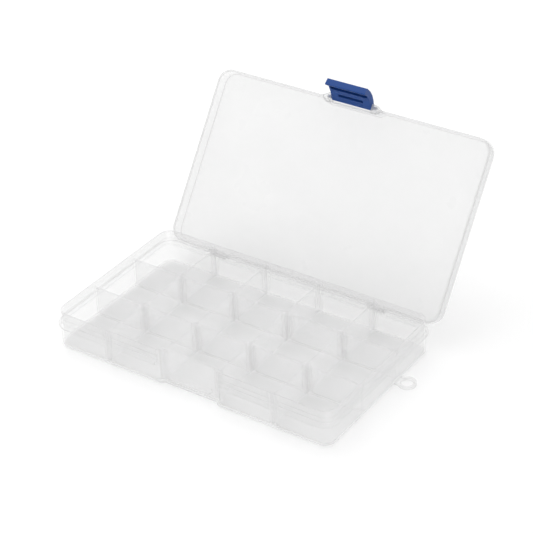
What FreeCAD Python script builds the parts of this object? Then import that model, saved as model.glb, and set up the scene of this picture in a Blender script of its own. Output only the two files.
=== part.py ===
import FreeCAD, Part

import math
import os

import Sketcher
from FreeCAD import Placement, Rotation, Vector

# Parts organizer: a shallow tray with three rows of compartments, twelve lift-out dividers,
# a hinged lid with a skirt, and a swinging latch on the lid's front edge.
#
# Frame: millimetres, +Z up. The origin is the middle of the tray's underside, X runs along
# the long side and Y points from the latch to the hinges. The lid stands open and the latch
# hangs part way to closed.
#
# Driving dimensions, each a cell of the sheet "Sizes".
DIMENSIONS = {
    # tray
    "tray_length": 173.0,        # outer wall below the bead
    "tray_width": 100.4,
    "tray_corner": 6.2,
    "tray_wall": 1.4,
    "tray_floor": 1.3,
    "tray_base_round": 2.0,      # rounded edge round the underside
    "step_height": 16.9,         # the inside of the wall steps outward here
    # lip inside the lid's skirt
    "lip_length": 172.4,
    "lip_width": 99.4,
    "lip_corner": 6.5,
    "lip_wall": 0.6,
    "lip_height": 21.6,
    # bead that the lid's skirt meets
    "bead_length": 175.8,
    "bead_width": 103.2,
    "bead_corner": 8.4,
    "bead_low": 12.0,
    "bead_high": 14.6,
    "bead_round": 0.9,
    "cut_beyond": 10.0,          # how far a cut goes on past the outer face
    # recess in the front wall, behind the latch
    "recess_half": 16.2,         # half width at the back of the recess
    "recess_deep": 2.75,
    "recess_flare": 3.0,         # how much wider each side is at the outer face
    "ridge_low": 4.6,            # catch ridge for the latch's hook
    "ridge_high": 6.8,
    "ridge_half": 13.5,
    "ridge_proud": 2.2,
    # walls between the three rows, and the rib pairs that hold the dividers
    "row_pitch": 17.0,           # row wall's middle from the tray's middle
    "row_wall": 1.1,
    "row_height": 18.6,
    "column_pitch": 34.8,
    "rib_width": 1.3,
    "rib_slot": 1.6,
    "rib_proud": 1.0,
    "rib_height": 20.0,
    # ring for hanging the box up
    "loop_reach": 91.5,
    "loop_back": 17.0,
    "loop_radius": 4.9,
    "loop_hole": 3.6,
    "loop_thick": 1.5,
    # hinges
    "hinge_spread": 52.0,        # hinge's middle from the box's middle
    "hinge_back": 51.9,          # hinge axis
    "hinge_height": 13.4,
    "hinge_gap_half": 5.0,       # half of the gap between the two lugs
    "hinge_gap_size": 5.0,       # height and depth of that gap
    "lug_thick": 1.6,
    "lug_radius": 1.4,
    "pin_radius": 0.8,
    "knuckle_half": 4.6,
    "knuckle_radius": 1.45,
    "knuckle_bore": 0.88,
    "knuckle_mouth": 1.1,        # opening that lets the knuckle snap over the pin
    "knuckle_arm": 4.6,          # arm's height above the axis
    "hinge_notch_half": 7.0,     # cut in the lid's skirt that clears the lugs
    "hinge_notch_rise": 1.3,
    # lid
    "lid_length": 175.0,
    "lid_width": 102.4,
    "lid_corner": 8.0,
    "lid_plate": 1.2,
    "lid_wall": 1.0,
    "lid_low": 14.9,
    "lid_high": 23.3,
    "lid_round": 2.5,
    "lid_recess_half": 15.75,
    "lid_recess_deep": 2.25,
    "lid_open": 125.0,           # opening angle at rest, in degrees
    # ears that hold the latch
    "ear_inner": 13.1,
    "ear_face": 14.4,            # end of the flat front of each ear
    "ear_outer": 18.2,
    "ear_proud": 2.1,
    "ear_low": 13.2,
    "ear_high": 18.0,
    "ear_bore": 0.87,
    "ear_bore_deep": 2.6,
    # latch, about its own pivot axis
    "pivot_front": 51.4,
    "pivot_height": 15.2,
    "latch_half": 12.7,
    "latch_pin": 0.8,
    "latch_pin_reach": 15.2,
    "latch_ajar": 32.0,          # angle from closed at rest, in degrees
    "latch_round": 0.5,
    "groove_floor": 1.2,         # how far outward of the axis both grooves go
    "groove_half": 11.7,         # long groove beside the hook
    "groove_low": -9.9,
    "groove_high": -7.7,
    "slot_half": 7.9,            # short groove nearer the axis
    "slot_low": -4.6,
    "slot_high": -2.8,
    # dividers
    "divider_thick": 1.0,
    "divider_low": 1.6,
    "divider_high": 19.0,
    "divider_gap": 0.3,          # clearance at each end
    "divider_round": 0.3,
}

# Corners of the latch's end profile: outward is negative across, the axis is at (0, 0).
LATCH_PROFILE = (
    (1.4, 1.3),
    (-1.4, 1.5),
    (-2.7, -2.9),
    (-3.0, -6.9),
    (-2.4, -10.6),
    (-0.7, -14.8),
    (3.3, -13.9),
    (0.7, -9.8),
    (0.6, -5.2),
)
for corner, (across, up) in enumerate(LATCH_PROFILE, start=1):
    DIMENSIONS[f"latch_{corner}_across"] = across
    DIMENSIONS[f"latch_{corner}_up"] = up

ROWS = ("front", "middle", "back")
COLUMNS = (-1.5, -0.5, 0.5, 1.5)          # in column pitches from the middle
NEAR = 1e-4
LEAST_CUT = 0.01                          # a pocket must remove more than this volume

# Expressions that several features share.
INNER_X = "(Sizes.tray_length / 2 - Sizes.tray_wall)"
INNER_Y = "(Sizes.tray_width / 2 - Sizes.tray_wall)"
RECESS_BACK = "(Sizes.tray_width / 2 - Sizes.recess_deep)"
LID_RECESS_BACK = "(Sizes.lid_width / 2 - Sizes.lid_recess_deep)"
LID_INSIDE_TOP = "(Sizes.lid_high - Sizes.lid_plate)"
IN_FLOOR = "Sizes.tray_floor / 2"
IN_WALL = "Sizes.tray_wall / 2"
RIB_REACH = "(Sizes.row_wall / 2 + Sizes.rib_proud)"
SLOPE = "(Sizes.recess_flare / Sizes.recess_deep)"
SLANT = "(sqrt(Sizes.recess_flare^2 + Sizes.recess_deep^2) / Sizes.recess_deep)"

doc = FreeCAD.newDocument("parts_organizer")


def make_sheet():
    """Puts every driving dimension in a cell with its name as the alias."""
    sheet = doc.addObject("Spreadsheet::Sheet", "Sizes")
    for row, (name, value) in enumerate(DIMENSIONS.items(), start=1):
        sheet.set(f"A{row}", name)
        sheet.set(f"B{row}", str(value))
        sheet.setAlias(f"B{row}", name)
    doc.recompute()
    return sheet


def make_body(label):
    body = doc.addObject("PartDesign::Body", label)
    body.Label = label
    return body


def origin_feature(body, role):
    return next(feature for feature in body.Origin.OriginFeatures if feature.Role == role)


def make_sketch(body, name, role, offset="0"):
    """A sketch on one of the body's origin planes, moved along its normal by offset."""
    sketch = body.newObject("Sketcher::SketchObject", name)
    sketch.AttachmentSupport = (origin_feature(body, role), [""])
    sketch.MapMode = "FlatFace"
    sketch.setExpression("AttachmentOffset.Base.z", offset)
    doc.recompute()
    return sketch


def number(expression):
    """The present value of an expression over the sheet's cells."""
    return float(doc.getObject("Sizes").evalExpression(expression))


def bind(sketch, kind, *where, value):
    """Adds a dimension to the sketch and ties it to the sheet."""
    index = sketch.addConstraint(Sketcher.Constraint(kind, *where, number(value)))
    sketch.setExpression(f"Constraints[{index}]", value)


def outline(sketch, points):
    """A closed polygon whose corners are pairs of expressions."""
    places = [Vector(number(across), number(up), 0) for across, up in points]
    first = sketch.GeometryCount
    count = len(places)
    for index, place in enumerate(places):
        sketch.addGeometry(Part.LineSegment(place, places[(index + 1) % count]))
    for index in range(count):
        following = first + (index + 1) % count
        sketch.addConstraint(Sketcher.Constraint("Coincident", first + index, 2, following, 1))
    for index, (across, up) in enumerate(points):
        bind(sketch, "DistanceX", -1, 1, first + index, 1, value=across)
        bind(sketch, "DistanceY", -1, 1, first + index, 1, value=up)


def rectangle(sketch, left, right, low, high):
    outline(sketch, [(left, low), (right, low), (right, high), (left, high)])


def circle(sketch, across, up, radius):
    """A circle; with across and up both "0" its centre is pinned to the origin."""
    centre = Vector(number(across), number(up), 0)
    index = sketch.addGeometry(Part.Circle(centre, Vector(0, 0, 1), number(radius)))
    if centre.Length == 0:
        sketch.addConstraint(Sketcher.Constraint("Coincident", index, 3, -1, 1))
    else:
        bind(sketch, "DistanceX", -1, 1, index, 3, value=across)
        bind(sketch, "DistanceY", -1, 1, index, 3, value=up)
    bind(sketch, "Radius", index, value=radius)


def add_lines(sketch, points):
    """Separate line segments from each point to the next."""
    for start, end in zip(points, points[1:]):
        sketch.addGeometry(Part.LineSegment(Vector(*start, 0), Vector(*end, 0)))


def add_corners(sketch, reach_x, reach_y, radius):
    """Quarter arcs at the four corners, from the front right one round to the front left."""
    centres = [(reach_x, -reach_y), (reach_x, reach_y), (-reach_x, reach_y), (-reach_x, -reach_y)]
    for turn, centre in enumerate(centres):
        full = Part.Circle(Vector(*centre, 0), Vector(0, 0, 1), radius)
        start = (turn - 1) * math.pi / 2
        sketch.addGeometry(Part.ArcOfCircle(full, start, start + math.pi / 2))


def rounded_outline(sketch, length, width, corner, notch=None):
    """A rounded rectangle about the origin. A notch in its front side is a tuple of three
    expressions: half width at the back, distance of the back from the X axis, half width
    at the front."""
    a = number(length) / 2
    b = number(width) / 2
    r = number(corner)
    front = [(-a + r, -b), (a - r, -b)]
    if notch:
        half, back, mouth = (number(value) for value in notch)
        front[1:1] = [(-mouth, -b), (-half, -back), (half, -back), (mouth, -b)]
    add_lines(sketch, front)
    add_lines(sketch, [(a, -b + r), (a, b - r)])
    add_lines(sketch, [(a - r, b), (-a + r, b)])
    add_lines(sketch, [(-a, b - r), (-a, -b + r)])
    add_corners(sketch, a - r, b - r, r)

    last = len(front) - 2
    right, rear, left = last + 1, last + 2, last + 3
    arcs = [left + 1 + turn for turn in range(4)]
    sides = [last, right, rear, left, 0]
    for before, arc, after in zip(sides, arcs, sides[1:]):
        sketch.addConstraint(Sketcher.Constraint("Tangent", before, 2, arc, 1))
        sketch.addConstraint(Sketcher.Constraint("Tangent", arc, 2, after, 1))
    for index in range(last):
        sketch.addConstraint(Sketcher.Constraint("Coincident", index, 2, index + 1, 1))
    sketch.addConstraint(Sketcher.Constraint("Vertical", right))
    sketch.addConstraint(Sketcher.Constraint("Vertical", left))
    sketch.addConstraint(Sketcher.Constraint("Horizontal", rear))
    sketch.addConstraint(Sketcher.Constraint("Horizontal", 0))
    for arc in arcs[1:]:
        sketch.addConstraint(Sketcher.Constraint("Equal", arcs[0], arc))
    bind(sketch, "Radius", arcs[0], value=corner)
    bind(sketch, "DistanceX", left, 1, -1, 1, value=f"({length}) / 2")
    bind(sketch, "DistanceX", -1, 1, right, 1, value=f"({length}) / 2")
    bind(sketch, "DistanceY", -1, 1, rear, 1, value=f"({width}) / 2")
    bind(sketch, "DistanceY", 0, 1, -1, 1, value=f"({width}) / 2")
    if notch:
        bind_notch(sketch, *notch)


def bind_notch(sketch, half, back, mouth):
    """Dimensions of the notch, whose five lines are the sketch's first."""
    sketch.addConstraint(Sketcher.Constraint("Horizontal", 4))
    sketch.addConstraint(Sketcher.Constraint("Symmetric", 2, 1, 2, 2, -2))
    sketch.addConstraint(Sketcher.Constraint("Symmetric", 0, 2, 4, 1, -2))
    bind(sketch, "DistanceX", 2, 1, 2, 2, value=f"2 * ({half})")
    bind(sketch, "DistanceX", 0, 2, 4, 1, value=f"2 * ({mouth})")
    bind(sketch, "DistanceY", 2, 1, -1, 1, value=back)


def solid_feature(body, kind, name, sketch, length, reverse=False, symmetric=False):
    feature = body.newObject(f"PartDesign::{kind}", name)
    feature.Profile = sketch
    feature.setExpression("Length", length)
    feature.Reversed = reverse
    if symmetric:
        feature.SideType = "Symmetric"
    doc.recompute()
    return feature


def pad(body, name, sketch, length, **options):
    return solid_feature(body, "Pad", name, sketch, length, **options)


def pocket(body, name, sketch, length, **options):
    """A pocket, with a test that it really removes material."""
    before = body.Shape.Volume
    feature = solid_feature(body, "Pocket", name, sketch, length, **options)
    if body.Shape.Volume > before - LEAST_CUT:
        raise RuntimeError(f"{name} cuts nothing")
    return feature


def fillet(body, name, base, radius, chosen):
    """Rounds the edges of base for which chosen(edge) is true."""
    names = [f"Edge{index}" for index, edge in enumerate(base.Shape.Edges, start=1) if chosen(edge)]
    feature = body.newObject("PartDesign::Fillet", name)
    feature.Base = (base, names)
    feature.setExpression("Radius", radius)
    doc.recompute()
    if not names or not feature.isValid():
        raise RuntimeError(f"{name} failed on {len(names)} edges")
    return feature


def mirror(body, name, originals, role):
    feature = body.newObject("PartDesign::Mirrored", name)
    feature.Originals = originals
    feature.MirrorPlane = (origin_feature(body, role), [""])
    body.Tip = feature
    doc.recompute()
    return feature


def flat_at(edge, height):
    """True where a whole edge lies at one height."""
    box = edge.BoundBox
    return abs(box.ZMin - height) < NEAR and abs(box.ZMax - height) < NEAR


def along_x(edge):
    box = edge.BoundBox
    return box.YLength < NEAR and box.ZLength < NEAR


def recess_outline(sketch, half, back, front, slope):
    """A trapezium open to the front: back wall, slanted sides, and a mouth that goes on
    straight past everything in front of it."""
    mouth = f"({half}) + (({front}) - ({back})) * {slope}"
    beyond = f"({front}) + Sizes.cut_beyond"
    outline(sketch, [
        (f"-({half})", f"-({back})"),
        (f"-({mouth})", f"-({front})"),
        (f"-({mouth})", f"-({beyond})"),
        (mouth, f"-({beyond})"),
        (mouth, f"-({front})"),
        (half, f"-({back})"),
    ])


def inner_notch(half, back, front, wall):
    """The inside of a wall that follows the recess: half and back describe its outside,
    front is the distance of the cavity's front side from the X axis."""
    inner_half = f"({half}) + ({wall}) * ({SLANT} - {SLOPE})"
    inner_back = f"({back}) - ({wall})"
    mouth = f"({inner_half}) + (({front}) - ({inner_back})) * {SLOPE}"
    return inner_half, inner_back, mouth


def tray_shell(body):
    """Outer wall, bead and lip, with the recess behind the latch."""
    base_sketch = make_sketch(body, "tray_base_outline", "XY_Plane")
    rounded_outline(base_sketch, "Sizes.tray_length", "Sizes.tray_width", "Sizes.tray_corner")
    base = pad(body, "tray_block", base_sketch, "Sizes.bead_high")
    fillet(body, "tray_base_edge", base, "Sizes.tray_base_round", lambda edge: flat_at(edge, 0))

    lip_sketch = make_sketch(body, "tray_lip_outline", "XY_Plane", "Sizes.bead_low")
    rounded_outline(lip_sketch, "Sizes.lip_length", "Sizes.lip_width", "Sizes.lip_corner")
    pad(body, "tray_lip", lip_sketch, "Sizes.lip_height - Sizes.bead_low")

    bead_sketch = make_sketch(body, "tray_bead_outline", "XY_Plane", "Sizes.bead_low")
    rounded_outline(bead_sketch, "Sizes.bead_length", "Sizes.bead_width", "Sizes.bead_corner")
    pad(body, "tray_bead", bead_sketch, "Sizes.bead_high - Sizes.bead_low")

    recess_sketch = make_sketch(body, "tray_recess_outline", "XY_Plane")
    recess_outline(recess_sketch, "Sizes.recess_half", RECESS_BACK, "Sizes.tray_width / 2", SLOPE)
    pocket(body, "tray_recess", recess_sketch, "Sizes.lip_height", reverse=True)


def tray_inside(body):
    """The open inside, a little wider above the step."""
    lower_sketch = make_sketch(body, "tray_lower_inside", "XY_Plane", "Sizes.tray_floor")
    rounded_outline(
        lower_sketch,
        f"2 * {INNER_X}",
        f"2 * {INNER_Y}",
        "Sizes.tray_corner - Sizes.tray_wall",
        inner_notch("Sizes.recess_half", RECESS_BACK, INNER_Y, "Sizes.tray_wall"),
    )
    pocket(body, "tray_lower_space", lower_sketch, "Sizes.lip_height", reverse=True)

    upper_front = "Sizes.lip_width / 2 - Sizes.lip_wall"
    upper_sketch = make_sketch(body, "tray_upper_inside", "XY_Plane", "Sizes.step_height")
    rounded_outline(
        upper_sketch,
        "Sizes.lip_length - 2 * Sizes.lip_wall",
        "Sizes.lip_width - 2 * Sizes.lip_wall",
        "Sizes.lip_corner - Sizes.lip_wall",
        inner_notch("Sizes.recess_half", RECESS_BACK, upper_front, "Sizes.tray_wall"),
    )
    return pocket(body, "tray_upper_space", upper_sketch, "Sizes.lip_height", reverse=True)


def round_bead(body, shell):
    """Rounds the upper and lower outer edges of the bead."""
    levels = (number("Sizes.bead_low"), number("Sizes.bead_high"))
    beyond_x = number("(Sizes.bead_length + Sizes.tray_length) / 4")
    beyond_y = number("(Sizes.bead_width + Sizes.tray_width) / 4")
    centre_x = number("Sizes.bead_length / 2 - Sizes.bead_corner")
    centre_y = number("Sizes.bead_width / 2 - Sizes.bead_corner")
    corner_reach = number("Sizes.bead_corner - Sizes.bead_round / 2")

    def on_bead(edge):
        if not any(flat_at(edge, level) for level in levels):
            return False
        point = edge.valueAt((edge.FirstParameter + edge.LastParameter) / 2)
        past = Vector(abs(point.x) - centre_x, abs(point.y) - centre_y, 0)
        if past.x > 0 and past.y > 0:
            return past.Length > corner_reach
        return abs(point.x) > beyond_x or abs(point.y) > beyond_y

    fillet(body, "tray_bead_edges", shell, "Sizes.bead_round", on_bead)


def tray_catch(body):
    """Ridge across the back of the recess that the latch's hook snaps under."""
    sketch = make_sketch(body, "catch_profile", "YZ_Plane")
    outline(sketch, [
        (f"-{RECESS_BACK} + {IN_WALL}", "Sizes.ridge_low"),
        (f"-{RECESS_BACK} + {IN_WALL}", f"Sizes.ridge_high + {IN_WALL}"),
        (f"-{RECESS_BACK}", f"Sizes.ridge_high + {IN_WALL}"),
        (f"-{RECESS_BACK} - Sizes.ridge_proud", f"Sizes.ridge_low + {IN_WALL}"),
        (f"-{RECESS_BACK} - Sizes.ridge_proud", "Sizes.ridge_low"),
    ])
    pad(body, "catch_ridge", sketch, "2 * Sizes.ridge_half", symmetric=True)


def rib_faces(column):
    """Left and right faces of the two ribs that hold a divider, as expressions."""
    middle = f"{column} * Sizes.column_pitch"
    near = "Sizes.rib_slot / 2"
    far = "(Sizes.rib_slot / 2 + Sizes.rib_width)"
    return [(f"{middle} - {far}", f"{middle} - {near}"), (f"{middle} + {near}", f"{middle} + {far}")]


def tray_rows(body):
    """The two row walls, and the ribs on the rear one and on the rear wall."""
    wall_sketch = make_sketch(body, "row_wall_outline", "XY_Plane", IN_FLOOR)
    rectangle(
        wall_sketch,
        f"-{INNER_X} - {IN_WALL}",
        f"{INNER_X} + {IN_WALL}",
        "Sizes.row_pitch - Sizes.row_wall / 2",
        "Sizes.row_pitch + Sizes.row_wall / 2",
    )
    wall = pad(body, "row_wall", wall_sketch, f"Sizes.row_height - {IN_FLOOR}")

    row_sketch = make_sketch(body, "row_rib_outline", "XY_Plane", IN_FLOOR)
    edge_sketch = make_sketch(body, "edge_rib_outline", "XY_Plane", IN_FLOOR)
    row_ends = (f"Sizes.row_pitch - {RIB_REACH}", f"Sizes.row_pitch + {RIB_REACH}")
    edge_ends = (f"{INNER_Y} - Sizes.rib_proud", f"{INNER_Y} + {IN_WALL}")
    for left, right in rib_faces(COLUMNS[0]):
        rectangle(row_sketch, left, right, *row_ends)
        rectangle(edge_sketch, left, right, *edge_ends)
    row_rib = pad(body, "row_ribs", row_sketch, f"Sizes.row_height - {IN_FLOOR}")
    edge_rib = pad(body, "edge_ribs", edge_sketch, f"Sizes.rib_height - {IN_FLOOR}")
    ribs = body.newObject("PartDesign::LinearPattern", "rib_columns")
    ribs.Originals = [row_rib, edge_rib]
    ribs.Direction = (origin_feature(body, "X_Axis"), [""])
    ribs.setExpression("Length", f"{len(COLUMNS) - 1} * Sizes.column_pitch")
    ribs.Occurrences = len(COLUMNS)
    body.Tip = ribs
    doc.recompute()
    mirror(body, "front_row_wall", [wall], "XZ_Plane")


def front_ribs(body):
    """Ribs on the front row wall and the front wall. Near the middle the front wall is the
    back of the recess, and the ribs beside its slanted sides reach deeper into the wall."""
    recess_inside = f"({RECESS_BACK} - Sizes.tray_wall)"
    row_sketch = make_sketch(body, "front_row_rib_outline", "XY_Plane", IN_FLOOR)
    edge_sketch = make_sketch(body, "front_rib_outline", "XY_Plane", IN_FLOOR)
    row_ends = (f"-(Sizes.row_pitch + {RIB_REACH})", f"-(Sizes.row_pitch - {RIB_REACH})")
    for column in COLUMNS:
        beside_recess = abs(column) < 1
        for side, (left, right) in zip((-1, 1), rib_faces(column)):
            end = recess_inside if beside_recess else INNER_Y
            into_wall = IN_WALL
            if beside_recess and side * column > 0:
                into_wall = "Sizes.recess_deep / 2"
            rectangle(edge_sketch, left, right, f"-({end} + {into_wall})", f"-({end} - Sizes.rib_proud)")
            rectangle(row_sketch, left, right, *row_ends)
    pad(body, "front_ribs", edge_sketch, f"Sizes.rib_height - {IN_FLOOR}")
    pad(body, "front_row_ribs", row_sketch, f"Sizes.row_height - {IN_FLOOR}")


def tray_loop(body):
    """Flat ring at the right-hand end, level with the rear row wall."""
    root_sketch = make_sketch(body, "loop_root_outline", "XY_Plane")
    rectangle(
        root_sketch,
        "Sizes.tray_length / 2 - Sizes.tray_base_round",
        "Sizes.loop_reach - Sizes.loop_hole",
        "Sizes.loop_back - Sizes.loop_hole",
        "Sizes.loop_back + Sizes.loop_hole",
    )
    pad(body, "loop_root", root_sketch, "Sizes.loop_thick")
    ring_sketch = make_sketch(body, "loop_outline", "XY_Plane")
    circle(ring_sketch, "Sizes.loop_reach", "Sizes.loop_back", "Sizes.loop_radius")
    pad(body, "loop_ring", ring_sketch, "Sizes.loop_thick")
    hole_sketch = make_sketch(body, "loop_hole_outline", "XY_Plane")
    circle(hole_sketch, "Sizes.loop_reach", "Sizes.loop_back", "Sizes.loop_hole")
    pocket(body, "loop_hole", hole_sketch, "Sizes.loop_thick", reverse=True)


def tray_hinges(body):
    """Two pairs of lugs on the back, each pair holding a moulded pin."""
    start = "Sizes.hinge_spread - Sizes.hinge_gap_half - Sizes.lug_thick"
    lug_sketch = make_sketch(body, "lug_profile", "YZ_Plane", start)
    rectangle(
        lug_sketch,
        "Sizes.tray_width / 2 - Sizes.tray_wall / 2",
        "Sizes.hinge_back",
        "Sizes.hinge_height - Sizes.lug_radius",
        "Sizes.hinge_height + Sizes.lug_radius",
    )
    length = "2 * (Sizes.hinge_gap_half + Sizes.lug_thick)"
    lug = pad(body, "lug_root", lug_sketch, length)
    nose_sketch = make_sketch(body, "lug_nose_profile", "YZ_Plane", start)
    circle(nose_sketch, "Sizes.hinge_back", "Sizes.hinge_height", "Sizes.lug_radius")
    nose = pad(body, "lug_nose", nose_sketch, length)
    gap_start = "Sizes.hinge_spread - Sizes.hinge_gap_half"
    gap_sketch = make_sketch(body, "knuckle_gap_profile", "YZ_Plane", gap_start)
    rectangle(
        gap_sketch,
        "Sizes.tray_width / 2",
        "Sizes.tray_width / 2 + Sizes.hinge_gap_size",
        "Sizes.hinge_height - Sizes.hinge_gap_size / 2",
        "Sizes.hinge_height + Sizes.hinge_gap_size / 2",
    )
    gap = pocket(body, "knuckle_gap", gap_sketch, "2 * Sizes.hinge_gap_half", reverse=True)
    pin_sketch = make_sketch(body, "pin_profile", "YZ_Plane", f"{gap_start} - Sizes.lug_thick / 2")
    circle(pin_sketch, "Sizes.hinge_back", "Sizes.hinge_height", "Sizes.pin_radius")
    pin = pad(body, "hinge_pin", pin_sketch, "2 * Sizes.hinge_gap_half + Sizes.lug_thick")
    mirror(body, "left_hinge", [lug, nose, gap, pin], "YZ_Plane")


def make_tray():
    body = make_body("tray")
    tray_shell(body)
    round_bead(body, tray_inside(body))
    tray_catch(body)
    tray_rows(body)
    front_ribs(body)
    tray_loop(body)
    tray_hinges(body)
    return body


def lid_shell(body):
    """Plate and skirt as they sit on the closed box."""
    block_sketch = make_sketch(body, "lid_outline", "XY_Plane", "Sizes.lid_low")
    rounded_outline(block_sketch, "Sizes.lid_length", "Sizes.lid_width", "Sizes.lid_corner")
    block = pad(body, "lid_block", block_sketch, "Sizes.lid_high - Sizes.lid_low")
    top = number("Sizes.lid_high")
    fillet(body, "lid_top_edge", block, "Sizes.lid_round", lambda edge: flat_at(edge, top))

    recess_sketch = make_sketch(body, "lid_recess_outline", "XY_Plane", "Sizes.lid_low")
    recess_outline(recess_sketch, "Sizes.lid_recess_half", LID_RECESS_BACK, "Sizes.lid_width / 2", SLOPE)
    pocket(body, "lid_recess", recess_sketch, f"{LID_INSIDE_TOP} - Sizes.lid_low", reverse=True)

    inside_front = "Sizes.lid_width / 2 - Sizes.lid_wall"
    inside_sketch = make_sketch(body, "lid_inside_outline", "XY_Plane", "Sizes.lid_low")
    rounded_outline(
        inside_sketch,
        "Sizes.lid_length - 2 * Sizes.lid_wall",
        "Sizes.lid_width - 2 * Sizes.lid_wall",
        "Sizes.lid_corner - Sizes.lid_wall",
        inner_notch("Sizes.lid_recess_half", LID_RECESS_BACK, inside_front, "Sizes.lid_wall"),
    )
    pocket(body, "lid_inside", inside_sketch, f"{LID_INSIDE_TOP} - Sizes.lid_low", reverse=True)


def lid_knuckles(body):
    """Snap-on knuckles under the skirt's back edge, with notches that clear the lugs."""
    notch_sketch = make_sketch(body, "hinge_notch_outline", "XY_Plane", "Sizes.lid_low")
    rectangle(
        notch_sketch,
        "Sizes.hinge_spread - Sizes.hinge_notch_half",
        "Sizes.hinge_spread + Sizes.hinge_notch_half",
        "Sizes.lid_width / 2 - 2 * Sizes.lid_wall",
        "Sizes.lid_width / 2 + Sizes.lid_wall",
    )
    notch = pocket(body, "hinge_notch", notch_sketch, "Sizes.hinge_notch_rise", reverse=True)

    start = "Sizes.hinge_spread - Sizes.knuckle_half"
    length = "2 * Sizes.knuckle_half"
    arm_sketch = make_sketch(body, "knuckle_arm_profile", "YZ_Plane", start)
    rectangle(
        arm_sketch,
        "Sizes.hinge_back - Sizes.knuckle_radius",
        "Sizes.lid_width / 2 + Sizes.lid_wall / 2",
        "Sizes.hinge_height",
        "Sizes.hinge_height + Sizes.knuckle_arm",
    )
    arm = pad(body, "knuckle_arm", arm_sketch, length)
    barrel_sketch = make_sketch(body, "knuckle_profile", "YZ_Plane", start)
    circle(barrel_sketch, "Sizes.hinge_back", "Sizes.hinge_height", "Sizes.knuckle_radius")
    barrel = pad(body, "knuckle", barrel_sketch, length)
    bore_sketch = make_sketch(body, "knuckle_bore_profile", "YZ_Plane", start)
    circle(bore_sketch, "Sizes.hinge_back", "Sizes.hinge_height", "Sizes.knuckle_bore")
    bore = pocket(body, "knuckle_bore", bore_sketch, length, reverse=True)
    mouth_sketch = make_sketch(body, "knuckle_mouth_profile", "YZ_Plane", start)
    rectangle(
        mouth_sketch,
        "Sizes.hinge_back - Sizes.knuckle_mouth / 2",
        "Sizes.hinge_back + Sizes.knuckle_mouth / 2",
        "Sizes.hinge_height - 2 * Sizes.knuckle_radius",
        "Sizes.hinge_height",
    )
    mouth = pocket(body, "knuckle_mouth", mouth_sketch, length, reverse=True)
    mirror(body, "left_knuckle", [notch, arm, barrel, bore, mouth], "YZ_Plane")


def lid_ears(body):
    """Two ears on the front edge, tapering out from the skirt, with bores for the latch."""
    in_back = f"-({LID_RECESS_BACK} - Sizes.lid_wall / 2)"
    front = "-(Sizes.lid_width / 2 + Sizes.ear_proud)"
    ear_sketch = make_sketch(body, "ear_outline", "XY_Plane", "Sizes.ear_low")
    outline(ear_sketch, [
        ("Sizes.ear_inner", in_back),
        ("Sizes.ear_inner", front),
        ("Sizes.ear_face", front),
        ("Sizes.ear_outer", "-Sizes.lid_width / 2"),
        ("Sizes.ear_outer", "-(Sizes.lid_width / 2 - Sizes.lid_wall / 2)"),
        ("Sizes.lid_recess_half", in_back),
    ])
    ear = pad(body, "ear", ear_sketch, "Sizes.ear_high - Sizes.ear_low")
    bore_sketch = make_sketch(body, "ear_bore_profile", "YZ_Plane", "Sizes.ear_inner")
    circle(bore_sketch, "-Sizes.pivot_front", "Sizes.pivot_height", "Sizes.ear_bore")
    bore = pocket(body, "ear_bore", bore_sketch, "Sizes.ear_bore_deep", reverse=True)
    mirror(body, "left_ear", [ear, bore], "YZ_Plane")


def lid_placement():
    axis = Vector(0, number("Sizes.hinge_back"), number("Sizes.hinge_height"))
    return Placement(Vector(), Rotation(Vector(1, 0, 0), -number("Sizes.lid_open")), axis)


def make_lid():
    body = make_body("lid")
    lid_shell(body)
    lid_knuckles(body)
    lid_ears(body)
    body.Placement = lid_placement()
    return body


def make_latch():
    """Curved flap with a hook along its free end, about its own pivot axis: -Y is outward
    and the flap hangs down -Z from the pivot."""
    body = make_body("latch")
    corners = range(1, len(LATCH_PROFILE) + 1)
    profile_sketch = make_sketch(body, "latch_profile", "YZ_Plane")
    outline(profile_sketch, [(f"Sizes.latch_{n}_across", f"Sizes.latch_{n}_up") for n in corners])
    flap = pad(body, "latch_flap", profile_sketch, "2 * Sizes.latch_half", symmetric=True)
    fillet(body, "latch_edges", flap, "Sizes.latch_round", along_x)
    groove_sketch = make_sketch(body, "latch_groove_outline", "XZ_Plane", "Sizes.groove_floor")
    for name in ("groove", "slot"):
        low, high = f"Sizes.{name}_low", f"Sizes.{name}_high"
        rectangle(groove_sketch, f"-Sizes.{name}_half", f"Sizes.{name}_half", low, high)
    pocket(body, "latch_grooves", groove_sketch, "Sizes.cut_beyond")
    pin_sketch = make_sketch(body, "latch_pin_profile", "YZ_Plane")
    circle(pin_sketch, "0", "0", "Sizes.latch_pin")
    pad(body, "latch_pins", pin_sketch, "2 * Sizes.latch_pin_reach", symmetric=True)
    pivot = Vector(0, -number("Sizes.pivot_front"), number("Sizes.pivot_height"))
    ajar = Rotation(Vector(1, 0, 0), -number("Sizes.latch_ajar"))
    body.Placement = lid_placement().multiply(Placement(pivot, ajar))
    return body


def divider_span(row, column):
    """The front and back ends of one divider, as expressions."""
    wall = "Sizes.tray_width / 2 - Sizes.tray_wall - Sizes.divider_gap"
    row_face = "Sizes.row_pitch {} (Sizes.row_wall / 2 + Sizes.divider_gap)"
    if row == "middle":
        reach = row_face.format("-")
        return f"-({reach})", reach
    if row == "back":
        return row_face.format("+"), wall
    if abs(column) < 1:
        wall = f"{wall} - Sizes.recess_deep"
    return f"-({wall})", f"-({row_face.format('+')})"


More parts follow.
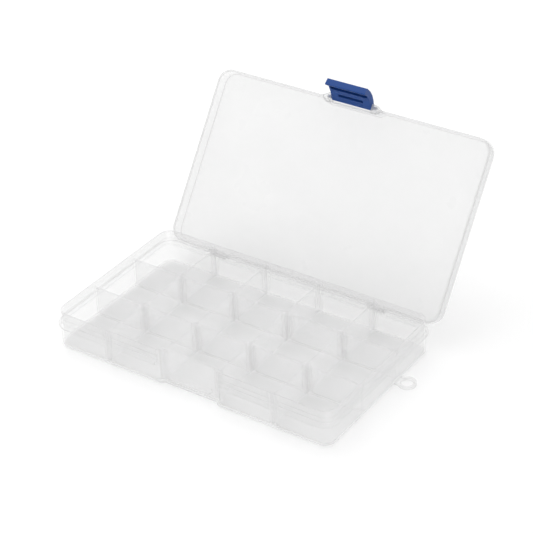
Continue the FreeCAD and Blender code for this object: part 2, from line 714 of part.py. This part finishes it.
def make_divider(row, column, label):
    """A thin plate that drops between two rib pairs."""
    body = make_body(label)
    front, back = divider_span(row, column)
    sketch = make_sketch(body, f"{label}_outline", "YZ_Plane", f"{column} * Sizes.column_pitch")
    rectangle(sketch, front, back, "Sizes.divider_low", "Sizes.divider_high")
    plate = pad(body, f"{label}_plate", sketch, "Sizes.divider_thick", symmetric=True)
    top = number("Sizes.divider_high")
    fillet(body, f"{label}_edge", plate, "Sizes.divider_round", lambda edge: flat_at(edge, top))
    return body


def make_dividers():
    dividers = []
    for row in ROWS:
        for index, column in enumerate(COLUMNS, start=1):
            dividers.append(make_divider(row, column, f"divider_{row}_{index}"))
    return dividers


def check(bodies):
    """Stops if any object failed or any shape is missing or broken."""
    for item in doc.Objects:
        if {"Invalid", "Error"} & set(item.State):
            raise RuntimeError(f"{item.Name} failed: {item.State}")
    for body in bodies:
        if body.Shape.isNull() or not body.Shape.isValid() or len(body.Shape.Solids) != 1:
            raise RuntimeError(f"{body.Label} has no single valid solid")


make_sheet()
parts = [make_tray(), make_lid(), make_latch()] + make_dividers()
doc.recompute()
check(parts)
os.makedirs("parts", exist_ok=True)
for part in parts:
    part.Shape.exportStep(f"parts/{part.Label}.step")
    print(part.Label, round(part.Shape.Volume), part.Shape.BoundBox)
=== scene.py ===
import math

import bpy
from mathutils import Matrix, Vector

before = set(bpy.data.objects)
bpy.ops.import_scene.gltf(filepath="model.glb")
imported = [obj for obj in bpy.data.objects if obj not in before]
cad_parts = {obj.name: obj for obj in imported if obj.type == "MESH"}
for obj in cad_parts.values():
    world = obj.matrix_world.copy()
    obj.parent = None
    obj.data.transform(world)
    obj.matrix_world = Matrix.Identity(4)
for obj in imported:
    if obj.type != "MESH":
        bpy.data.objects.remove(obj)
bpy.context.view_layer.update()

# Lengths are in metres, apart from the lens and its sensor. Angles are in radians.

# ---------------------------------------------------------------- camera
# The view: a long lens from the front right, looking down on the open tray.
LENS_MM = 117.98
SENSOR_MM = 36.0
CLIP_START = 0.01
AIM = Vector((-0.024988, 0.06035, 0.010))
DISTANCE = 0.984119
YAW = 0.6110
PITCH = 0.5672
ROLL = -0.0347

# ---------------------------------------------------------------- light and stage
WORLD_STRENGTH = 0.96
LIGHTS = (                      # name, place, side of the square, power in watts
    ("key", (-0.8, 0.40, 1.7), 1.6, 13),
    ("fill", (0.9, -1.0, 1.0), 1.0, 2),
)
FLOOR_HALF = 3.0
FLOOR_LEVEL = -0.0003           # just clear of the tray's underside
FLOOR_GREY = 0.84
FLOOR_ROUGHNESS = 0.8

# ---------------------------------------------------------------- plastic
CLOUD_SCALE = 40.0              # soft patches, seen in the haze, the colour and the gloss
CLOUD_DETAIL = 3.0
CLOUD_HAZE = 0.012              # how far the patches move the haze either way
CLOUD_ROUGHNESS = 0.06
GRAIN_SCALE = 1500.0            # the moulding's fine grain
GRAIN_DETAIL = 2.0
GRAIN_STRENGTH = 0.04
GRAIN_DEPTH = 0.0002
PLASTIC_IOR = 1.49
GLOW = 0.5                      # share of the milk that passes light on
NOISE_REACH = (0.3, 0.7)        # nearly all of a noise's values lie in here

# Where a zone of painted shade on the plastic starts and where it is full, on the part's own axes.
PLATE_HEIGHT = (0.0016, 0.0010)
PLATE_SIDE = (0.0868, 0.0860)
RIM_SIDE = (0.0845, 0.0850)
RIM_FRONT = (0.0483, 0.0488)
RIM_HEIGHT = (0.0115, 0.0122)
EDGE_TURN = (0.995, 0.88)       # cosine between the face and the rounded-off face
EDGE_RADIUS = 0.0008
EDGE_SAMPLES = 4                # rays that round the edge off

LATCH_CLOUD_SCALE = 120.0
LATCH_CLOUD_DETAIL = 4.0
LATCH_GRAIN_SCALE = 2500.0
LATCH_GRAIN_STRENGTH = 0.25
LATCH_GRAIN_DEPTH = 0.0001
LATCH_BLUES = ((0.011, 0.050, 0.205), (0.016, 0.062, 0.245))
LATCH_ROUGHNESS = (0.35, 0.50)
LATCH_SPECULAR = 0.2


def grey(level):
    return (level, level, level)


class Nodes:
    """A new material, and a short way to add and join its shader nodes."""

    def __init__(self, name):
        self.material = bpy.data.materials.new(name)
        self.material.use_nodes = True
        self.tree = self.material.node_tree
        self.tree.nodes.clear()

    def add(self, kind, **inputs):
        """Adds a node. Each input is named with _ for a space, and is a socket or a value."""
        node = self.tree.nodes.new(f"ShaderNode{kind}")
        for name, value in inputs.items():
            self.give(node.inputs[name.replace("_", " ")], value)
        return node

    def give(self, socket, value):
        """Links the socket to another one, or sets its value."""
        if isinstance(value, bpy.types.NodeSocket):
            self.tree.links.new(value, socket)
        else:
            socket.default_value = value

    def finish(self, shader):
        """Gives the material its surface, and returns it."""
        self.add("OutputMaterial", Surface=shader.outputs[0])
        return self.material


def noise(nodes, place, scale, detail):
    return nodes.add("TexNoise", Vector=place, Scale=scale, Detail=detail).outputs["Fac"]


def stretch(nodes, value, ends, results=(0.0, 1.0)):
    """Takes value from ends to results in a straight line, and holds it beyond them."""
    limits = {"From_Min": ends[0], "From_Max": ends[1], "To_Min": results[0], "To_Max": results[1]}
    return nodes.add("MapRange", Value=value, **limits).outputs["Result"]


def combine(nodes, operation, *values):
    """The operation of a Math node on sockets or numbers."""
    node = nodes.add("Math")
    node.operation = operation
    for socket, value in zip(node.inputs, values):
        nodes.give(socket, value)
    return node.outputs[0]


def colour_mix(nodes, share, first, second):
    """A colour from first to second. Either may be a socket or three numbers."""
    node = nodes.add("Mix")
    node.data_type = "RGBA"
    nodes.give(node.inputs["Factor"], share)
    for letter, colour in (("A", first), ("B", second)):
        nodes.give(node.inputs[letter], (*colour, 1) if isinstance(colour, tuple) else colour)
    return node.outputs["Result"]


def shader_mix(nodes, share, first, second):
    """A shader from first to second, of which share is the second's part."""
    node = nodes.add("MixShader")
    for socket, value in zip(node.inputs, (share, first.outputs[0], second.outputs[0])):
        nodes.give(socket, value)
    return node


# ---------------------------------------------------------------- masks for painted shade
def bottom_plate_shade(nodes, place):
    """Where painted shade greys the tray's floor: 1 in the tray's bottom plate, and 0 above it and in
    the ring beside it.
    """
    axes = nodes.add("SeparateXYZ", Vector=place)
    low = stretch(nodes, axes.outputs["Z"], PLATE_HEIGHT)
    within = stretch(nodes, axes.outputs["X"], PLATE_SIDE)
    return combine(nodes, "MULTIPLY", low, within)


def outer_rim_shade(nodes, place):
    """Where painted shade greys the tray's rim: 1 in the tray's outer wall from the bead up, and 0
    elsewhere.
    """
    axes = nodes.add("SeparateXYZ", Vector=place)
    beside = stretch(nodes, combine(nodes, "ABSOLUTE", axes.outputs["X"]), RIM_SIDE)
    before = stretch(nodes, combine(nodes, "ABSOLUTE", axes.outputs["Y"]), RIM_FRONT)
    above = stretch(nodes, axes.outputs["Z"], RIM_HEIGHT)
    return combine(nodes, "MULTIPLY", combine(nodes, "MAXIMUM", beside, before), above)


def edge_shade_mask(nodes, place):
    """1 along the moulding's rims, corners and joints, where shade is painted in as darker, milkier
    plastic, and 0 on its faces.
    """
    rounded = nodes.add("Bevel", Radius=EDGE_RADIUS)
    rounded.samples = EDGE_SAMPLES
    flat = nodes.add("NewGeometry")
    turn = nodes.add("VectorMath")
    turn.operation = "DOT_PRODUCT"
    for socket, source in zip(turn.inputs, (rounded, flat)):
        nodes.give(socket, source.outputs["Normal"])
    return stretch(nodes, turn.outputs["Value"], EDGE_TURN)


# ---------------------------------------------------------------- materials
def polypropylene(name, haze, rough, greys, shade_zones):
    """Milky moulded plastic. haze is how much of a face isn't clear, and greys are its two
    colours. Each zone is painted shade: a mask, how much haze it adds and the darker grey it turns the
    plastic."""
    nodes = Nodes(name)
    place = nodes.add("TexCoord").outputs["Object"]
    cloud = noise(nodes, place, CLOUD_SCALE, CLOUD_DETAIL)
    grain = noise(nodes, place, GRAIN_SCALE, GRAIN_DETAIL)
    colour = colour_mix(nodes, cloud, grey(greys[0]), grey(greys[1]))
    milky = stretch(nodes, cloud, NOISE_REACH, (haze - CLOUD_HAZE, haze + CLOUD_HAZE))
    gloss = (rough - CLOUD_ROUGHNESS, rough + CLOUD_ROUGHNESS)
    # each zone paints shade into the colour and the haze
    for mask, extra, level in shade_zones:
        share = mask(nodes, place)
        colour = colour_mix(nodes, share, colour, grey(level))
        milky = combine(nodes, "ADD", milky, combine(nodes, "MULTIPLY", share, extra))
    bump = nodes.add("Bump", Strength=GRAIN_STRENGTH, Distance=GRAIN_DEPTH, Height=grain)
    normal = bump.outputs["Normal"]
    surface = nodes.add("BsdfPrincipled", Base_Color=colour, Normal=normal, IOR=PLASTIC_IOR)
    nodes.give(surface.inputs["Roughness"], stretch(nodes, cloud, NOISE_REACH, gloss))
    through = nodes.add("BsdfTranslucent", Color=colour, Normal=normal)
    milk = shader_mix(nodes, GLOW, surface, through)
    clear = nodes.add("BsdfTransparent")
    return nodes.finish(shader_mix(nodes, milky, clear, milk))


def blue_plastic():
    """Opaque blue moulding with a fine satin grain and paler rubbed patches."""
    nodes = Nodes("latch_plastic_look")
    place = nodes.add("TexCoord").outputs["Object"]
    cloud = noise(nodes, place, LATCH_CLOUD_SCALE, LATCH_CLOUD_DETAIL)
    grain = noise(nodes, place, LATCH_GRAIN_SCALE, GRAIN_DETAIL)
    bump = nodes.add("Bump", Strength=LATCH_GRAIN_STRENGTH, Distance=LATCH_GRAIN_DEPTH, Height=grain)
    surface = nodes.add(
        "BsdfPrincipled",
        Base_Color=colour_mix(nodes, cloud, *LATCH_BLUES),
        Normal=bump.outputs["Normal"],
        Roughness=stretch(nodes, cloud, NOISE_REACH, LATCH_ROUGHNESS),
        Specular_IOR_Level=LATCH_SPECULAR,
    )
    return nodes.finish(surface)


def floor_paint():
    nodes = Nodes("floor_look")
    colour = (*grey(FLOOR_GREY), 1)
    return nodes.finish(nodes.add("BsdfPrincipled", Base_Color=colour, Roughness=FLOOR_ROUGHNESS))


def paint(node, material):
    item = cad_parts[node]
    item.data.materials.clear()
    item.data.materials.append(material)


def paint_parts():
    # painted shade: the tray's bottom plate turns greyer and milkier, so the compartment floors read
    # darker
    plate = (bottom_plate_shade, 0.22, 0.82)
    # painted shade: the tray's outer wall from the bead up turns greyer and milkier
    rim = (outer_rim_shade, 0.06, 0.78)
    # painted shade: the rims, corners and joints of the mouldings turn darker grey and milkier, the
    # lid's darker still
    edge_shade = (edge_shade_mask, 0.15, 0.62)
    dark_edge_shade = (edge_shade_mask, 0.38, 0.42)
    paint("tray", polypropylene("tray_plastic_look", 0.20, 0.50, (0.86, 0.83), [plate, rim, edge_shade]))
    paint("lid", polypropylene("lid_plastic_look", 0.34, 0.32, (0.81, 0.78), [dark_edge_shade]))
    paint("latch", blue_plastic())
    divider = polypropylene("divider_plastic_look", 0.20, 0.45, (0.87, 0.84), [edge_shade])
    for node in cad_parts:
        if node.startswith("divider_"):
            paint(node, divider)


# ---------------------------------------------------------------- stage
def make_floor():
    mesh = bpy.data.meshes.new("floor")
    signs = ((-1, -1), (1, -1), (1, 1), (-1, 1))
    corners = [(x * FLOOR_HALF, y * FLOOR_HALF, FLOOR_LEVEL) for x, y in signs]
    mesh.from_pydata(corners, [], [(0, 1, 2, 3)])
    mesh.materials.append(floor_paint())
    floor = bpy.data.objects.new("floor", mesh)
    bpy.context.scene.collection.objects.link(floor)


def area_light(name, place, size, power):
    """A square light aimed at the frame's origin."""
    data = bpy.data.lights.new(name, "AREA")
    data.shape = "SQUARE"
    data.size = size
    data.energy = power
    light = bpy.data.objects.new(name, data)
    light.location = place
    light.rotation_euler = (-Vector(place)).to_track_quat("-Z", "Y").to_euler()
    bpy.context.scene.collection.objects.link(light)


def light_scene():
    world = bpy.data.worlds.new("studio")
    bpy.context.scene.world = world
    world.use_nodes = True
    background = world.node_tree.nodes["Background"]
    background.inputs["Color"].default_value = (1, 1, 1, 1)
    background.inputs["Strength"].default_value = WORLD_STRENGTH
    for name, place, size, power in LIGHTS:
        area_light(name, place, size, power)


def make_camera():
    ahead = Vector((-math.sin(YAW) * math.cos(PITCH), math.cos(YAW) * math.cos(PITCH), -math.sin(PITCH)))
    level = Vector((math.cos(YAW), math.sin(YAW), 0))
    above = level.cross(ahead)
    right = math.cos(ROLL) * level + math.sin(ROLL) * above
    up = math.cos(ROLL) * above - math.sin(ROLL) * level
    data = bpy.data.cameras.new("camera")
    data.lens = LENS_MM
    data.sensor_width = SENSOR_MM
    data.clip_start = CLIP_START
    camera = bpy.data.objects.new("camera", data)
    turn = Matrix((right, up, -ahead)).transposed().to_4x4()
    camera.matrix_world = Matrix.Translation(AIM - DISTANCE * ahead) @ turn
    bpy.context.scene.collection.objects.link(camera)
    bpy.context.scene.camera = camera


def allow_bounces():
    """Enough for light to pass through every wall that stands behind another."""
    cycles = bpy.context.scene.cycles
    cycles.transparent_max_bounces = 48
    cycles.diffuse_bounces = 10
    cycles.max_bounces = 16


bpy.context.scene.view_settings.view_transform = "Standard"
allow_bounces()
paint_parts()
make_floor()
light_scene()
make_camera()
